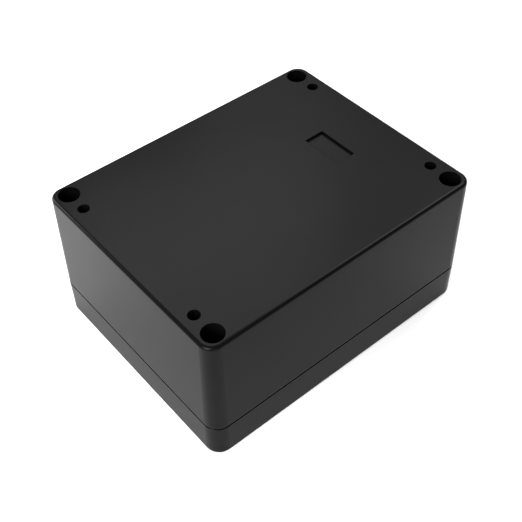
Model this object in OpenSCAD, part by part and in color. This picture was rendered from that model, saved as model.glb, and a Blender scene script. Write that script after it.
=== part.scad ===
// Sealed plastic project box, lying on its lid with the base's outer bottom up.
// The lid is a shallow cap held by four machine screws in brass inserts. The screws and the
// wall-mounting holes share double-barrel corner columns that stand outside the gasket line.
// Origin: centre of the lid's outer face. X is the long side, Z is up.

/* [Housing] */
// Outer length at the joint line
box_l = 115; // [100:1:180]
// Outer width at the joint line
box_w = 90; // [80:1:140]
// Height of the closed box
box_h = 55; // [48:1:100]
// Height of the lid
lid_h = 14; // [13:0.5:20]
// Radius of the upright corners at the joint line
corner_r = 5.5; // [4.5:0.25:7]
// Side wall of the base
wall_t = 3; // [2.8:0.1:3.6]
// Bottom of the base
bottom_t = 3; // [2.4:0.1:4]
// Outer face of the lid
lid_face_t = 2.8; // [2.2:0.1:3.4]
// Draft of the base's outside and of its core, in degrees
base_draft = 1; // [0.4:0.1:1.4]
// Draft of the lid's outside and of its core, in degrees
lid_draft = 0.3; // [0.2:0.1:1]
// Rounding of the edge round the base's bottom
base_edge_r = 1.2; // [0.4:0.1:1.6]
// Rounding of the edge round the lid's outer face
lid_edge_r = 0.8; // [0.4:0.1:1.6]
// Chamfer where the walls of a hollow meet its flat end
core_chamfer = 0.5; // [0.3:0.1:1]

/* [Joint line and seal] */
// Height of the shadow gap between lid and base
shadow_h = 0.55; // [0.2:0.05:0.8]
// Depth of the shadow gap
shadow_t = 0.6; // [0.3:0.05:0.8]
// Ledge between the cavity and the base's sealing tongue
ledge_t = 0.4; // [0.3:0.05:0.5]
// Thickness of the sealing tongue
tongue_t = 1.2; // [1:0.05:1.3]
// Height of the sealing tongue
tongue_h = 2.4; // [1.8:0.1:3]
// Clearance of the tongue on each side in the lid's groove
tongue_gap = 0.25; // [0.15:0.05:0.3]
// Thickness of the rib between the lid's groove and its hollow
groove_rib_t = 1; // [0.8:0.1:1.4]
// Height of the gasket, pressed
gasket_h = 1.5; // [1:0.1:2]
// Clearance of the gasket on each side in the groove
gasket_gap = 0.1; // [0.05:0.05:0.2]
// Gap between the tongue and the gasket
seal_gap = 0.05; // [0.05:0.05:0.1]

/* [Corner columns] */
// Distance of the screw axis from the short side
screw_inset_l = 6.5; // [6.2:0.1:8]
// Distance of the screw axis from the long side
screw_inset_w = 6; // [5.8:0.1:8]
// Distance from the screw axis to the mounting hole
mount_step = 9; // [8.8:0.1:12]
// Diameter of the relief in the column, at the base's bottom
relief_d = 7.6; // [6:0.1:8]
// Diameter of the mounting hole
mount_d = 4.2; // [3.4:0.1:5]
// Diameter of the mounting screw's well, at the joint line
well_d = 7.8; // [7:0.1:8]
// Draft of the wells and reliefs, in degrees
bore_draft = 0.3; // [0.1:0.1:0.5]
// Shelf under the mounting screw's head
mount_shelf_t = 3.5; // [2.5:0.1:5]
// Wall between the well and the hollow
column_wall_t = 2.7; // [2.6:0.1:3.5]
// Rounding where a column runs into a side wall
nook_r = 2.5; // [1.5:0.1:3]
// Plastic between the insert's hole and the relief
web_t = 3; // [2:0.1:5]

/* [Bosses and recess] */
// Height of the circuit board bosses in the base
base_boss_h = 6; // [3:0.5:10]
// Height of the bosses in the lid
lid_boss_h = 4; // [2:0.5:6]
// Diameter of a boss at its tip
boss_d = 6.4; // [5:0.1:8]
// Draft of the bosses, in degrees
boss_draft = 1; // [0.5:0.1:2]
// Pilot hole for a self-tapping screw
pilot_d = 2.5; // [2:0.1:3]
// How far a pilot hole stops short of the outer face
pilot_floor_t = 1.6; // [1:0.1:2.2]
// Distance of a boss from the column's face, along the length
boss_inset_l = 8.4; // [5:0.1:14]
// Distance of a boss from the cavity's long wall
boss_inset_w = 10; // [6:0.1:16]
// Length of the mould insert's recess in the bottom, along the box
recess_l = 8; // [4:0.5:16]
// Width of the mould insert's recess, across the box
recess_w = 16.3; // [8:0.1:30]
// Depth of the mould insert's recess
recess_depth = 0.9; // [0.3:0.1:1.2]
// Distance of the recess's middle from the short side
recess_inset = 25.8; // [20:0.1:45]

/* [Screws and inserts] */
// Nominal thread diameter
screw_d = 4; // [3:0.5:4]
// Length under the head
screw_len = 10; // [8:1:12]
// Diameter of the cheese head
head_d = 7; // [5.5:0.1:7.4]
// Height of the head
head_h = 2.6; // [2:0.1:3]
// Depth of the cross recess
cross_depth = 1.7; // [1:0.1:2]
// Span of the cross recess
cross_l = 4; // [3:0.1:4.4]
// Width of the cross recess
cross_w = 1; // [0.8:0.1:1.2]
// Clearance on each side of the screw in the lid and in the insert
screw_gap = 0.15; // [0.1:0.05:0.25]
// Clearance on each side of the head in its well
head_gap = 0.5; // [0.3:0.05:0.5]
// Plastic under the screw head
screw_shelf_t = 5; // [4:0.1:6]
// Outer diameter of the brass insert
insert_d = 5.8; // [5.2:0.1:6.2]
// Length of the brass insert
insert_len = 8; // [6:0.5:10]
// Depth of the insert below the column's end
insert_sink = 0.2; // [0.1:0.05:0.5]
// Room past the insert for the screw's point
insert_room = 1; // [0.5:0.1:2]
// Clearance between the insert and its hole
insert_gap = 0.02; // [0.01:0.01:0.05]
// Width of the plain groove round the middle of the insert
insert_groove_w = 1.4; // [1:0.1:2]
// Depth of that groove
insert_groove_t = 0.35; // [0.2:0.05:0.4]

/* [Hidden] */
$fn = 96;
over = 1; // how far a cutting shape runs past what it cuts

black = [0.17, 0.175, 0.17];
steel = [0.66, 0.67, 0.68];
bronze = [0.72, 0.56, 0.26];
rubber = [0.1, 0.1, 0.1];

half_l = box_l / 2;
half_w = box_w / 2;
base_h = box_h - lid_h;
screw_x = half_l - screw_inset_l;
screw_y = half_w - screw_inset_w;
mount_y = screw_y - mount_step;

// The cavity's plan is a plus: the full length between the columns and the full width
// between them, with each column's free corner round the axis of its mounting hole.
column_r = well_d / 2 + column_wall_t;
plus_l = half_l - wall_t;
plus_w = half_w - wall_t;
waist_l = screw_x - column_r;
waist_w = mount_y - column_r;

// Offsets from the cavity's plan, outwards
tongue_in = ledge_t;
tongue_out = ledge_t + tongue_t;
groove_in = tongue_in - tongue_gap;
groove_out = tongue_out + tongue_gap;
lid_core_in = groove_in - groove_rib_t;
groove_depth = tongue_h + seal_gap + gasket_h;

base_core_depth = base_h - bottom_t;
lid_core_depth = lid_h - lid_face_t;
head_well_depth = lid_h - screw_shelf_t;
insert_hole_depth = insert_sink + insert_len + insert_room;
relief_depth = base_h - insert_hole_depth - web_t;
boss_x = waist_l - boss_inset_l;
boss_y = plus_w - boss_inset_w;

// Corners in the order of the screws: 1 and 2 on the -Y side, 3 and 4 on the +Y side
corners = [[-1, -1], [1, -1], [1, 1], [-1, 1]];

module at_corners(x, y) {
    for (c = corners)
        translate([c[0] * x, c[1] * y, 0]) children();
}

// Half section of a moulded block from the middle of its corner outwards: the wide mouth at
// z = 0, the closed end at z = h, the side leaning in by the draft, the end's edge rounded.
module block_section(r, h, draft, edge_r) {
    lean = tan(draft);
    centre_z = h - edge_r;
    centre_x = r - centre_z * lean - edge_r / cos(draft);
    polygon([[0, 0],
             [r, 0],
             [centre_x + edge_r * cos(draft), centre_z + edge_r * sin(draft)],
             [centre_x, centre_z],
             [centre_x, h],
             [0, h]]);
    translate([centre_x, centre_z])
        circle(edge_r);
}

// Half section of a core's corner, its end chamfered. A corner of the core itself leans in
// towards the end (way = -1), and the free corner of a column widens there (way = 1).
module core_section(r, h, draft, chamfer, way) {
    side_r = r + way * (h - chamfer) * tan(draft);
    polygon([[0, 0],
             [r, 0],
             [side_r, h - chamfer],
             [side_r + way * chamfer, h],
             [0, h]]);
}

// A half section taken round a rectangle: a quarter turn at each corner, a straight run along
// each side and a block in the middle.
module moulded_block(l, w, r, h) {
    x = l - r;
    y = w - r;
    for (turn = [0:3]) {
        across = turn % 2 == 0 ? x : y;
        along = turn % 2 == 0 ? y : x;
        rotate([0, 0, 90 * turn]) {
            translate([across, along, 0])
                rotate_extrude(angle = 90)
                    children();
            translate([across, 0, 0])
                rotate([90, 0, 0])
                    linear_extrude(2 * along, center = true)
                        children();
        }
    }
    translate([-x, -y, 0])
        cube([2 * x, 2 * y, h]);
}

// The plus-shaped core, grown outwards by grow, with its mouth at z = 0
module plus_core(grow, depth, draft) {
    r = nook_r + grow;
    free_r = column_r - grow;
    lean = depth * tan(draft);
    chamfer = min(core_chamfer, (r - lean) / 2);
    back = lean + chamfer + over;
    moulded_block(plus_l + grow, waist_w + grow, r, depth)
        core_section(r, depth, draft, chamfer, -1);
    moulded_block(waist_l + grow, plus_w + grow, r, depth)
        core_section(r, depth, draft, chamfer, -1);
    for (c = corners)
        mirror([c[0] < 0 ? 1 : 0, 0, 0])
            mirror([0, c[1] < 0 ? 1 : 0, 0])
                difference() {
                    translate([waist_l + grow - back, waist_w + grow - back, 0])
                        cube([free_r + back, free_r + back, depth]);
                    translate([screw_x, mount_y, 0])
                        rotate_extrude()
                            core_section(free_r, depth, draft, chamfer, 1);
                }
}

module round_rect(l, w, r) {
    square([2 * l, 2 * (w - r)], center = true);
    square([2 * (l - r), 2 * w], center = true);
    at_corners(l - r, w - r)
        circle(r);
}

// The same plus in plan, for the tongue, its groove and the gasket
module plus_plan(grow) {
    r = nook_r + grow;
    free_r = column_r - grow;
    round_rect(plus_l + grow, waist_w + grow, r);
    round_rect(waist_l + grow, plus_w + grow, r);
    for (c = corners)
        mirror([c[0] < 0 ? 1 : 0, 0])
            mirror([0, c[1] < 0 ? 1 : 0])
                difference() {
                    translate([waist_l + grow - over, waist_w + grow - over])
                        square(free_r + over);
                    translate([screw_x, mount_y])
                        circle(free_r);
                }
}

// A ring along the seal, between two offsets from the cavity
module seal_ring(inner, outer, h) {
    linear_extrude(h)
        difference() {
            plus_plan(outer);
            plus_plan(inner);
        }
}

// A drafted hole with its mouth at z = 0, running up
module drafted_hole(d, depth) {
    cylinder(d1 = d, d2 = d - 2 * depth * tan(bore_draft), h = depth);
}

// A circuit board boss that stands on the plane z = 0 and points down, its root sunk into the wall
module boss(h) {
    translate([0, 0, -h])
        cylinder(d1 = boss_d, d2 = boss_d + 2 * (h + over) * tan(boss_draft), h = h + over);
}

// Base: drawn with its mouth at z = 0 and its bottom up
module base() {
    color(black)
        translate([0, 0, lid_h])
            difference() {
                union() {
                    difference() {
                        moulded_block(half_l, half_w, corner_r, base_h)
                            block_section(corner_r, base_h, base_draft, base_edge_r);
                        plus_core(0, base_core_depth, base_draft);
                    }
                    translate([0, 0, -tongue_h])
                        seal_ring(tongue_in, tongue_out, tongue_h + over);
                    translate([0, 0, base_core_depth])
                        at_corners(boss_x, boss_y)
                            boss(base_boss_h);
                }
                shadow_gap();
                translate([0, 0, base_h])
                    mirror([0, 0, 1])
                        at_corners(screw_x, screw_y)
                            drafted_hole(relief_d, relief_depth);
                at_corners(screw_x, screw_y)
                    cylinder(d = insert_d + 2 * insert_gap, h = insert_hole_depth);
                at_corners(screw_x, mount_y) {
                    drafted_hole(well_d, base_h - mount_shelf_t);
                    cylinder(d = mount_d, h = base_h);
                }
                translate([0, 0, base_core_depth - base_boss_h])
                    at_corners(boss_x, boss_y)
                        cylinder(d = pilot_d, h = base_boss_h + bottom_t - pilot_floor_t);
                translate([half_l - recess_inset - recess_l / 2, -recess_w / 2, base_h - recess_depth])
                    cube([recess_l, recess_w, recess_depth + over]);
            }
}

// Lid: drawn with its mouth at z = 0 and its outer face up, then turned over
module lid() {
    color(black)
        translate([0, 0, lid_h])
            mirror([0, 0, 1])
                difference() {
                    union() {
                        difference() {
                            moulded_block(half_l, half_w, corner_r, lid_h)
                                block_section(corner_r, lid_h, lid_draft, lid_edge_r);
                            plus_core(lid_core_in, lid_core_depth, lid_draft);
                        }
                        translate([0, 0, lid_core_depth])
                            at_corners(boss_x, boss_y)
                                boss(lid_boss_h);
                    }
                    seal_ring(groove_in, groove_out, groove_depth);
                    translate([0, 0, screw_shelf_t])
                        at_corners(screw_x, screw_y)
                            cylinder(d = head_d + 2 * head_gap, h = head_well_depth + over);
                    at_corners(screw_x, screw_y)
                        cylinder(d = screw_d + 2 * screw_gap, h = lid_h);
                    at_corners(screw_x, mount_y)
                        drafted_hole(well_d, lid_core_depth);
                    translate([0, 0, lid_core_depth - lid_boss_h])
                        at_corners(boss_x, boss_y)
                            cylinder(d = pilot_d, h = lid_boss_h + lid_face_t - pilot_floor_t);
                }
}

// The rebate round the base's rim that shows as a dark line
module shadow_gap() {
    linear_extrude(shadow_h)
        difference() {
            square([2 * (half_l + over), 2 * (half_w + over)], center = true);
            round_rect(half_l - shadow_t, half_w - shadow_t, corner_r - shadow_t);
        }
}

module gasket() {
    color(rubber)
        translate([0, 0, lid_h - groove_depth])
            seal_ring(groove_in + gasket_gap, groove_out - gasket_gap, gasket_h);
}

// Cheese-head machine screw, head down
module screw() {
    edge = 0.3;
    point = 0.6;
    color(steel)
        difference() {
            rotate_extrude()
                polygon([[0, -head_h],
                         [head_d / 2 - edge, -head_h],
                         [head_d / 2, edge - head_h],
                         [head_d / 2, 0],
                         [screw_d / 2, 0],
                         [screw_d / 2, screw_len - point],
                         [screw_d / 2 - point, screw_len],
                         [0, screw_len]]);
            for (turn = [0, 90])
                rotate([0, 0, turn])
                    translate([-cross_l / 2, -cross_w / 2, -head_h - over])
                        cube([cross_l, cross_w, cross_depth + over]);
        }
}

// Brass insert: two knurled bands with a plain groove between them
module insert() {
    lead = 0.4;
    bore_r = screw_d / 2 + screw_gap;
    outer_r = insert_d / 2;
    groove_r = outer_r - insert_groove_t;
    groove_z = (insert_len - insert_groove_w) / 2;
    color(bronze)
        rotate_extrude()
            polygon([[bore_r + lead, 0],
                     [outer_r, 0],
                     [outer_r, groove_z],
                     [groove_r, groove_z + insert_groove_t],
                     [groove_r, groove_z + insert_groove_w - insert_groove_t],
                     [outer_r, groove_z + insert_groove_w],
                     [outer_r, insert_len - lead],
                     [outer_r - lead, insert_len],
                     [bore_r, insert_len],
                     [bore_r, lead]]);
}

module screw_at(corner) {
    translate([corner[0] * screw_x, corner[1] * screw_y, head_well_depth])
        screw();
}

module insert_at(corner) {
    translate([corner[0] * screw_x, corner[1] * screw_y, lid_h + insert_sink])
        insert();
}

base();
lid();
gasket();
screw_at(corners[0]);  // screw_1
screw_at(corners[1]);  // screw_2
screw_at(corners[2]);  // screw_3
screw_at(corners[3]);  // screw_4
insert_at(corners[0]);  // insert_1
insert_at(corners[1]);  // insert_2
insert_at(corners[2]);  // insert_3
insert_at(corners[3]);  // insert_4
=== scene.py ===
import math

import bmesh
import bpy
from mathutils import Matrix, Vector


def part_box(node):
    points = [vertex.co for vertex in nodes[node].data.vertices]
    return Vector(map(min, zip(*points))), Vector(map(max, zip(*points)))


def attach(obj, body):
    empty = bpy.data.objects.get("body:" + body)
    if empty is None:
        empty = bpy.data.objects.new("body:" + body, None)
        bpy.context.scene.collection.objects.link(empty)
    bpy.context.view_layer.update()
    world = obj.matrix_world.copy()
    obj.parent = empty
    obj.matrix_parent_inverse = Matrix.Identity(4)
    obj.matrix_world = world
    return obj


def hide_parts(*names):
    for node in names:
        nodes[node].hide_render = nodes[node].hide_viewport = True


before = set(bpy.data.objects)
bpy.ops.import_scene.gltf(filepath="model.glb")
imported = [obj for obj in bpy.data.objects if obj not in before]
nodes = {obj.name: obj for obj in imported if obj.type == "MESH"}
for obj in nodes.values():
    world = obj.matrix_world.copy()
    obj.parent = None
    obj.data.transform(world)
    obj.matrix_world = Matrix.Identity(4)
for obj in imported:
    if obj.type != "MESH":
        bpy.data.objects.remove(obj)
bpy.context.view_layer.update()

mm = 0.001
scene = bpy.context.scene
print("frame loaded:", len(nodes), "nodes")


# camera

cameraSettings = {
    "aim": (-5.63, -6.36, 27.5),  # mm, a point inside the box
    "distance": 319.5,  # mm from that point to the lens
    "heading": 50.58,  # degrees, the line of sight seen from above, from +X
    "dip": 46.87,  # degrees that it looks down
    "roll": 1.02,  # degrees clockwise, seen along the line of sight
    "lens": 62.55,  # mm
    "sensor": 36,  # mm wide
    "nearClip": 0.01,  # m
    "farClip": 10,  # m
}


def makeCamera(settings):
    heading = math.radians(settings["heading"])
    dip = math.radians(settings["dip"])
    level = Vector((math.cos(heading), math.sin(heading), 0))
    sight = level * math.cos(dip) - Vector((0, 0, math.sin(dip)))
    data = bpy.data.cameras.new("camera")
    data.lens = settings["lens"]
    data.sensor_width = settings["sensor"]
    data.clip_start = settings["nearClip"]
    data.clip_end = settings["farClip"]
    camera = bpy.data.objects.new("camera", data)
    place = (Vector(settings["aim"]) - sight * settings["distance"]) * mm
    turn = sight.to_track_quat("-Z", "Y").to_matrix().to_4x4()
    roll = Matrix.Rotation(math.radians(-settings["roll"]), 4, "Z")
    camera.matrix_world = Matrix.Translation(place) @ turn @ roll
    scene.collection.objects.link(camera)
    scene.camera = camera


makeCamera(cameraSettings)
print("camera placed")


# floor, world and lights

stageSettings = {
    "floorSize": 4000,  # mm
    "floorWhite": 0.86,
    "skyStrength": 0.3,
}

# square lamps, in mm, each turned to its aim
lamps = {
    "backHigh": {"place": (130, 223, 396), "aim": (0, 0, 27), "side": 200, "brightness": 6},
    "back": {"place": (250, 300, 300), "aim": (0, 0, 50), "side": 120, "brightness": 2},
    "backLeft": {"place": (0, 200, 300), "aim": (0, 0, 50), "side": 120, "brightness": 2.2},
    "right": {"place": (250, 150, 300), "aim": (0, 0, 50), "side": 120, "brightness": 2},
    "rightHigh": {"place": (258, 0, 396), "aim": (0, 0, 27), "side": 200, "brightness": 11},
    "front": {"place": (-360, -149, 252), "aim": (0, 0, 27), "side": 200, "brightness": 25},
    "leftNear": {"place": (-150, 210, 130), "aim": (-80, 105, 5), "side": 80, "brightness": 31},
}


def makeFloor(settings):
    mesh = bpy.data.meshes.new("floor")
    bm = bmesh.new()
    bmesh.ops.create_grid(bm, x_segments=1, y_segments=1, size=settings["floorSize"] * mm / 2)
    bm.to_mesh(mesh)
    bm.free()
    floor = bpy.data.objects.new("floor", mesh)
    scene.collection.objects.link(floor)
    material = bpy.data.materials.new("whitePaper")
    material.use_nodes = True
    shader = material.node_tree.nodes["Principled BSDF"]
    white = settings["floorWhite"]
    shader.inputs["Base Color"].default_value = (white, white, white, 1)
    shader.inputs["Roughness"].default_value = 1
    shader.inputs["Specular IOR Level"].default_value = 0
    mesh.materials.append(material)


def makeWorld(settings):
    world = bpy.data.worlds.new("studio")
    world.use_nodes = True
    sky = world.node_tree.nodes["Background"]
    sky.inputs["Color"].default_value = (1, 1, 1, 1)
    sky.inputs["Strength"].default_value = settings["skyStrength"]
    scene.world = world
    scene.view_settings.view_transform = "Standard"


def makeLamp(name, settings):
    side = settings["side"] * mm
    place = Vector(settings["place"]) * mm
    sight = Vector(settings["aim"]) * mm - place
    data = bpy.data.lights.new(name, "AREA")
    data.shape = "SQUARE"
    data.size = side
    data.energy = settings["brightness"] * math.pi * side * side
    lamp = bpy.data.objects.new(name, data)
    turn = sight.to_track_quat("-Z", "Y").to_matrix().to_4x4()
    lamp.matrix_world = Matrix.Translation(place) @ turn
    lamp.visible_camera = False
    scene.collection.objects.link(lamp)


makeFloor(stageSettings)
makeWorld(stageSettings)
for name, settings in lamps.items():
    makeLamp(name, settings)
print("stage lit:", len(lamps), "lamps")


# materials

def newMaterial(name):
    material = bpy.data.materials.new(name)
    material.use_nodes = True
    return material, material.node_tree.nodes, material.node_tree.links


def noiseNode(nodeSet, links, coordinates, grainSize, detail=2.0, rough=0.5):
    noise = nodeSet.new("ShaderNodeTexNoise")
    noise.inputs["Scale"].default_value = 1 / (grainSize * mm)
    noise.inputs["Detail"].default_value = detail
    noise.inputs["Roughness"].default_value = rough
    links.new(coordinates, noise.inputs["Vector"])
    return noise.outputs["Fac"]


def rangeNode(nodeSet, links, value, low, high, fromLow=0.3, fromHigh=0.7):
    spread = nodeSet.new("ShaderNodeMapRange")
    spread.inputs["From Min"].default_value = fromLow
    spread.inputs["From Max"].default_value = fromHigh
    spread.inputs["To Min"].default_value = low
    spread.inputs["To Max"].default_value = high
    links.new(value, spread.inputs["Value"])
    return spread.outputs["Result"]


def bumpNode(nodeSet, links, height, depth, below=None):
    bump = nodeSet.new("ShaderNodeBump")
    bump.inputs["Strength"].default_value = 1
    bump.inputs["Distance"].default_value = depth * mm
    links.new(height, bump.inputs["Height"])
    if below is not None:
        links.new(below, bump.inputs["Normal"])
    return bump.outputs["Normal"]


def mixNode(nodeSet, links, value, dark, light):
    tone = nodeSet.new("ShaderNodeMix")
    tone.data_type = "RGBA"
    tone.inputs["A"].default_value = (*dark, 1)
    tone.inputs["B"].default_value = (*light, 1)
    links.new(rangeNode(nodeSet, links, value, 0, 1), tone.inputs["Factor"])
    return tone.outputs["Result"]


def mathNode(nodeSet, links, operation, first, second=None):
    node = nodeSet.new("ShaderNodeMath")
    node.operation = operation
    for socket, value in zip(node.inputs, (first, second)):
        if isinstance(value, bpy.types.NodeSocket):
            links.new(value, socket)
        elif value is not None:
            socket.default_value = value
    return node.outputs["Value"]


# 1 inside the band, 0 outside it, with a soft edge
def bandNode(nodeSet, links, value, low, high, soft):
    middle = (low + high) / 2 * mm
    off = mathNode(nodeSet, links, "ABSOLUTE", mathNode(nodeSet, links, "SUBTRACT", value, middle))
    half = (high - low) / 2
    return rangeNode(nodeSet, links, off, 1, 0, (half - soft) * mm, (half + soft) * mm)


# black ABS: dark tones in broad clouds, a fine grain and slow flow waves under it.
# Beside the joint line the shading turns over as on a rounded edge, with no change of shape,
# and a dull line runs round the recess.
absBase = {
    "dark": (0.0017, 0.0017, 0.0017),
    "light": (0.0024, 0.0024, 0.0024),
    "cloud": 18,  # mm
    "roughness": (0.28, 0.32),
    "grain": 0.22,  # mm
    "grainDepth": 0.0012,  # mm
    "waves": 9,  # mm
    "wavesDepth": 0.004,  # mm
    "gloss": 0.06,  # specular level
    "index": 1.5,  # of refraction
    "jointEdge": (14.54, 14.82),  # mm above the floor
    "jointSoft": 0.04,  # mm
    "jointTilt": -1,  # down on the base, up on the lid
    "recessMiddle": (31.7, 0),  # mm
    "recessHalf": (4, 8.15),  # mm
    "recessLine": 0.15,  # mm
    "recessSoft": 0.01875,  # mm
    "recessRoughness": 0.9,
}
absLid = dict(absBase, roughness=(0.29, 0.34), grain=0.3, grainDepth=0.0018,
              jointEdge=(13.70, 14.01), jointTilt=1)


def recessBand(nodeSet, links, split, finish):
    reach = []
    for axis, middle, half in zip("XY", finish["recessMiddle"], finish["recessHalf"]):
        off = mathNode(nodeSet, links, "SUBTRACT", split.outputs[axis], middle * mm)
        off = mathNode(nodeSet, links, "ABSOLUTE", off)
        reach.append(mathNode(nodeSet, links, "SUBTRACT", off, half * mm))
    away = mathNode(nodeSet, links, "MAXIMUM", *reach)
    soft = finish["recessSoft"]
    return bandNode(nodeSet, links, away, 2 * soft, finish["recessLine"], soft)


# the surface normal, tipped up or down in the band beside the joint line
def jointNormal(nodeSet, links, split, finish):
    band = bandNode(nodeSet, links, split.outputs["Z"], *finish["jointEdge"], finish["jointSoft"])
    tip = nodeSet.new("ShaderNodeCombineXYZ")
    links.new(mathNode(nodeSet, links, "MULTIPLY", band, finish["jointTilt"]), tip.inputs["Z"])
    total = nodeSet.new("ShaderNodeVectorMath")
    links.new(nodeSet.new("ShaderNodeNewGeometry").outputs["Normal"], total.inputs[0])
    links.new(tip.outputs["Vector"], total.inputs[1])
    unit = nodeSet.new("ShaderNodeVectorMath")
    unit.operation = "NORMALIZE"
    links.new(total.outputs["Vector"], unit.inputs[0])
    return unit.outputs["Vector"]


def mouldedPlastic(name, finish, recessed=False):
    material, nodeSet, links = newMaterial(name)
    shader = nodeSet["Principled BSDF"]
    place = nodeSet.new("ShaderNodeTexCoord").outputs["Object"]
    split = nodeSet.new("ShaderNodeSeparateXYZ")
    links.new(place, split.inputs["Vector"])
    cloud = noiseNode(nodeSet, links, place, finish["cloud"], 3)
    tone = mixNode(nodeSet, links, cloud, finish["dark"], finish["light"])
    links.new(tone, shader.inputs["Base Color"])
    grain = noiseNode(nodeSet, links, place, finish["grain"], 3, 0.6)
    satin = rangeNode(nodeSet, links, grain, *finish["roughness"])
    if recessed:
        rough = nodeSet.new("ShaderNodeMix")
        rough.inputs["B"].default_value = finish["recessRoughness"]
        links.new(recessBand(nodeSet, links, split, finish), rough.inputs["Factor"])
        links.new(satin, rough.inputs["A"])
        satin = rough.outputs["Result"]
    links.new(satin, shader.inputs["Roughness"])
    waves = noiseNode(nodeSet, links, place, finish["waves"], 1)
    edge = jointNormal(nodeSet, links, split, finish)
    under = bumpNode(nodeSet, links, waves, finish["wavesDepth"], edge)
    over = bumpNode(nodeSet, links, grain, finish["grainDepth"], under)
    links.new(over, shader.inputs["Normal"])
    shader.inputs["IOR"].default_value = finish["index"]
    shader.inputs["Specular IOR Level"].default_value = finish["gloss"]
    return material


# neoprene: a dull skin with fine pimples and a little dust
gasketFinish = {
    "dark": (0.004, 0.004, 0.004),
    "dusty": (0.012, 0.012, 0.0115),
    "dust": 1.5,  # mm
    "roughness": (0.7, 0.85),
    "pimple": 0.12,  # mm
    "pimpleDepth": 0.008,  # mm
    "gloss": 0.3,  # specular level
}


def neoprene(name, finish):
    material, nodeSet, links = newMaterial(name)
    shader = nodeSet["Principled BSDF"]
    place = nodeSet.new("ShaderNodeTexCoord").outputs["Object"]
    dust = noiseNode(nodeSet, links, place, finish["dust"], 4, 0.65)
    tone = mixNode(nodeSet, links, dust, finish["dark"], finish["dusty"])
    links.new(tone, shader.inputs["Base Color"])
    pimples = noiseNode(nodeSet, links, place, finish["pimple"], 1)
    links.new(rangeNode(nodeSet, links, pimples, *finish["roughness"]), shader.inputs["Roughness"])
    links.new(bumpNode(nodeSet, links, pimples, finish["pimpleDepth"]), shader.inputs["Normal"])
    shader.inputs["Specular IOR Level"].default_value = finish["gloss"]
    return material


nodes["base"].material_slots[0].material = mouldedPlastic("absBase", absBase, recessed=True)
nodes["lid"].material_slots[0].material = mouldedPlastic("absLid", absLid)
nodes["gasket"].material_slots[0].material = neoprene("gasketNeoprene", gasketFinish)
print("plastic and rubber finished")


# metal pieces

metalMesh = {
    "roundingSteps": 4,
    "sharpFrom": 32,  # degrees between faces
    "mergeWithin": 0.001,  # mm
}
cornerCount = 4


def spinProfile(bm, points, sides, rounding=0.0):
    verts = [bm.verts.new((radius * mm, 0, height * mm)) for radius, height in points]
    for pair in zip(verts, verts[1:]):
        bm.edges.new(pair)
    if rounding:
        bmesh.ops.bevel(bm, geom=verts[1:3], offset=rounding * mm, affect="VERTICES",
                        segments=metalMesh["roundingSteps"], profile=0.5, material=-1)
    bmesh.ops.spin(bm, geom=bm.verts[:] + bm.edges[:], cent=(0, 0, 0), axis=(0, 0, 1),
                   angle=math.tau, steps=sides, use_merge=True)
    bmesh.ops.remove_doubles(bm, verts=bm.verts, dist=metalMesh["mergeWithin"] * mm)


# faces of one closed shell
def turnOutwards(bm, faces):
    bmesh.ops.recalc_face_normals(bm, faces=faces)
    bm.normal_update()
    filled = sum(face.normal.dot(face.calc_center_median()) * face.calc_area() for face in faces)
    if filled < 0:
        bmesh.ops.reverse_faces(bm, faces=faces)


# A ridge made as a solid and wound up the axis. It rises out of the root and runs out again,
# and crosses the +X side at the height called phase, give or take whole turns.
def windThread(bm, thread, low, high, phase):
    root, crest, pitch, sides = (thread[key] for key in ("root", "crest", "pitch", "sides"))
    foot = pitch * thread["footShare"] / 2
    tip = pitch * thread["tipShare"] / 2
    body = set(bm.verts)
    turnOutwards(bm, bm.faces[:])
    section = [(root, -foot), (crest, -tip), (crest, tip), (root, foot)]
    verts = [bm.verts.new((radius * mm, 0, (low + height) * mm)) for radius, height in section]
    face = bm.faces.new(verts)
    bmesh.ops.rotate(bm, verts=verts, cent=(0, 0, 0),
                     matrix=Matrix.Rotation(math.tau * (low - phase) / pitch, 3, "Z"))
    turns = (high - low) / pitch
    steps = round(turns * sides)
    rise = (high - low) / steps * mm
    bmesh.ops.spin(bm, geom=[face], cent=(0, 0, 0), axis=(0, 0, 1), dvec=(0, 0, rise),
                   angle=math.tau * turns, steps=steps)
    ridge = set(bm.verts) - body
    for vert in ridge:
        height = vert.co.z / mm
        radius = vert.co.xy.length / mm
        fade = min(1, max(0, height - low) / pitch, max(0, high - height) / pitch)
        vert.co.xy *= (root + (radius - root) * fade) / radius
    turnOutwards(bm, [face for face in bm.faces if face.verts[0] in ridge])


def addPiece(bm, name, place, body, material, node):
    own = bm.verts.layers.float_vector.new("ownPlace")
    for vert in bm.verts:
        vert[own] = vert.co
    bmesh.ops.translate(bm, verts=bm.verts, vec=place)
    mesh = bpy.data.meshes.new(name)
    bm.to_mesh(mesh)
    bm.free()
    mesh.shade_smooth()
    mesh.set_sharp_from_angle(angle=math.radians(metalMesh["sharpFrom"]))
    mesh.materials.append(material)
    piece = bpy.data.objects.new(name, mesh)
    scene.collection.objects.link(piece)
    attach(piece, body)
    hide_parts(node)


# cheese-head screw: spun body, cross pressed into the head, thread on the shank
screwShape = {
    "headRadius": 3.5,  # mm, as all of these but crossTaper and sides
    "headHeight": 2.6,
    "headEdge": 0.35,
    "shankRadius": 1.6,
    "length": 10,
    "point": 0.5,
    "threadLow": 0.35,
    "threadHigh": 9.3,
    "faceRadius": 2.7,
    "crossSpan": 4.0,
    "crossWidth": 1.0,
    "crossDepth": 1.5,
    "crossPit": 0.35,
    "crossTaper": 0.5,
    "sides": 64,
}
# radii and pitch in mm, widths of the ridge as shares of the pitch, sides to a turn
screwThread = {"root": 1.57, "crest": 1.97, "pitch": 0.7, "footShare": 0.86, "tipShare": 0.14, "sides": 36}


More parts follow.
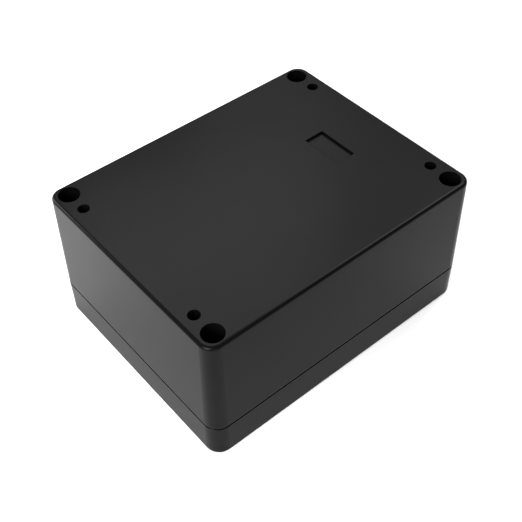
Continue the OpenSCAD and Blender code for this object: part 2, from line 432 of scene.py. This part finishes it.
def crossOutline(bm, span, width, height):
    far = span / 2
    near = width / 2
    verts = []
    for turn in range(4):
        quarter = Matrix.Rotation(turn * math.pi / 2, 3, "Z")
        for x, y in ((far, -near), (far, near), (near, near)):
            verts.append(bm.verts.new(quarter @ Vector((x, y, height)) * mm))
    return [bm.edges.new((vert, verts[(k + 1) % len(verts)])) for k, vert in enumerate(verts)]


def makeScrew(shape, thread, phase):
    bm = bmesh.new()
    top = -shape["headHeight"]
    spinProfile(bm, [(shape["faceRadius"], top),
                     (shape["headRadius"], top),
                     (shape["headRadius"], 0),
                     (shape["shankRadius"], 0),
                     (shape["shankRadius"], shape["length"] - shape["point"]),
                     (shape["shankRadius"] - shape["point"], shape["length"]),
                     (0, shape["length"])], shape["sides"], shape["headEdge"])
    rim = [edge for edge in bm.edges if edge.is_boundary]
    cross = crossOutline(bm, shape["crossSpan"], shape["crossWidth"], top)
    bmesh.ops.triangle_fill(bm, edges=rim + cross, use_beauty=True, normal=(0, 0, -1))
    walls = bmesh.ops.extrude_edge_only(bm, edges=cross)["geom"]
    lowVerts = [item for item in walls if isinstance(item, bmesh.types.BMVert)]
    lowEdges = [item for item in walls if isinstance(item, bmesh.types.BMEdge) and item.is_boundary]
    bmesh.ops.scale(bm, verts=lowVerts, vec=(shape["crossTaper"], shape["crossTaper"], 1))
    bmesh.ops.translate(bm, verts=lowVerts, vec=(0, 0, shape["crossDepth"] * mm))
    pit = bmesh.ops.contextual_create(bm, geom=lowEdges)["faces"]
    centre = bmesh.ops.poke(bm, faces=pit)["verts"]
    bmesh.ops.translate(bm, verts=centre, vec=(0, 0, shape["crossPit"] * mm))
    windThread(bm, thread, shape["threadLow"], shape["threadHigh"], phase)
    return bm


# pressed-in insert: a ring carried round its section, its two bands knurled opposite ways
insertShape = {
    "length": 8,  # mm, as all of these but the last three
    "outer": 2.9,
    "valley": 2.72,
    "groove": 2.52,
    "bore": 2.15,
    "lead": 0.4,
    "lowBand": (0.3, 3.1),
    "highBand": (4.9, 7.4),
    "teeth": 34,
    "bandSteps": 8,
    "helix": 30,  # degrees
}
insertThread = {"root": 2.19, "crest": 1.74, "pitch": 0.7, "footShare": 0.86, "tipShare": 0.12, "sides": 36}


# each ring is (radius at the teeth, radius between them, height, turn)
def insertRings(shape):
    outer, valley, groove, bore, length, lead = (
        shape[key] for key in ("outer", "valley", "groove", "bore", "length", "lead"))
    slope = math.tan(math.radians(shape["helix"])) / outer
    fall = valley - groove
    rings = [(bore + lead, bore + lead, 0, 0), (valley, valley, 0, 0)]
    turn = 0
    for (low, high), hand in ((shape["lowBand"], slope), (shape["highBand"], -slope)):
        rings.append((valley, valley, low, turn))
        for step in range(shape["bandSteps"] + 1):
            height = low + (high - low) * step / shape["bandSteps"]
            rings.append((outer, valley, height, turn + hand * (height - low)))
        turn = rings[-1][3]
        rings.append((valley, valley, high, turn))
        if hand > 0:
            rings.append((groove, groove, high + fall, turn))
            rings.append((groove, groove, shape["highBand"][0] - fall, turn))
    rings.append((valley, valley, length - lead, turn))
    rings.append((valley - lead / 2, valley - lead / 2, length, turn))
    for height in (length, length - lead, lead):
        inner = bore + lead * (height == length)
        rings.append((inner, inner, height, turn))
    return rings


def makeInsert(shape, thread, phase):
    bm = bmesh.new()
    rings = insertRings(shape)
    bmesh.ops.create_circle(bm, cap_ends=False, segments=2 * shape["teeth"], radius=rings[0][0] * mm)
    first = bm.edges[:]
    edges = first
    turned = 0
    for tooth, gap, height, turn in rings[1:]:
        made = bmesh.ops.extrude_edge_only(bm, edges=edges)["geom"]
        verts = {item for item in made if isinstance(item, bmesh.types.BMVert)}
        made = [item for item in made if isinstance(item, bmesh.types.BMEdge)]
        edges = [edge for edge in made if verts.issuperset(edge.verts)]
        bmesh.ops.rotate(bm, verts=list(verts), cent=(0, 0, 0),
                         matrix=Matrix.Rotation(turn - turned, 3, "Z"))
        turned = turn
        for vert in verts:
            share = math.atan2(vert.co.y, vert.co.x) - turned
            onTooth = round(share / math.pi * shape["teeth"]) % 2 == 0
            vert.co.xy *= (tooth if onTooth else gap) * mm / vert.co.xy.length
            vert.co.z = height * mm
    bmesh.ops.bridge_loops(bm, edges=first + edges)
    windThread(bm, thread, shape["lead"], shape["length"] - shape["lead"], phase)
    return bm


def turnedMetal(name, finish):
    material, nodeSet, links = newMaterial(name)
    shader = nodeSet["Principled BSDF"]
    own = nodeSet.new("ShaderNodeAttribute")
    own.attribute_name = "ownPlace"
    split = nodeSet.new("ShaderNodeSeparateXYZ")
    links.new(own.outputs["Vector"], split.inputs["Vector"])
    flat = nodeSet.new("ShaderNodeCombineXYZ")
    links.new(split.outputs["X"], flat.inputs["X"])
    links.new(split.outputs["Y"], flat.inputs["Y"])
    reach = nodeSet.new("ShaderNodeVectorMath")
    reach.operation = "LENGTH"
    links.new(flat.outputs["Vector"], reach.inputs[0])
    rings = nodeSet.new("ShaderNodeCombineXYZ")  # tool marks run round the axis
    links.new(reach.outputs["Value"], rings.inputs["X"])
    links.new(split.outputs["Z"], rings.inputs["Z"])
    marks = noiseNode(nodeSet, links, rings.outputs["Vector"], finish["markPitch"], 2)
    stains = noiseNode(nodeSet, links, own.outputs["Vector"], finish["stainSize"], 3)
    tone = mixNode(nodeSet, links, stains, finish["dull"], finish["bright"])
    links.new(tone, shader.inputs["Base Color"])
    links.new(rangeNode(nodeSet, links, marks, *finish["roughness"]), shader.inputs["Roughness"])
    links.new(bumpNode(nodeSet, links, marks, finish["markDepth"]), shader.inputs["Normal"])
    shader.inputs["Metallic"].default_value = 1
    return material


steelFinish = {
    "dull": (0.42, 0.43, 0.45),
    "bright": (0.62, 0.63, 0.64),
    "roughness": (0.24, 0.36),
    "markPitch": 0.12,  # mm
    "markDepth": 0.004,  # mm
    "stainSize": 2.5,  # mm
}
brassFinish = dict(steelFinish, dull=(0.55, 0.36, 0.13), bright=(0.74, 0.52, 0.22), markPitch=0.2)

steel = turnedMetal("screwSteel", steelFinish)
brass = turnedMetal("insertBrass", brassFinish)
for k in range(1, cornerCount + 1):
    low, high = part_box(f"screw_{k}")
    axis = (low + high) / 2
    seat = Vector((axis.x, axis.y, low.z + screwShape["headHeight"] * mm))
    screw = makeScrew(screwShape, screwThread, -seat.z / mm)
    addPiece(screw, f"screw_{k}_threaded", seat, f"screw_{k}", steel, f"screw_{k}")
    low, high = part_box(f"insert_{k}")
    axis = (low + high) / 2
    foot = Vector((axis.x, axis.y, low.z))
    insert = makeInsert(insertShape, insertThread, insertThread["pitch"] / 2 - foot.z / mm)
    addPiece(insert, f"insert_{k}_knurled", foot, "base", brass, f"insert_{k}")
print("screws and inserts made")
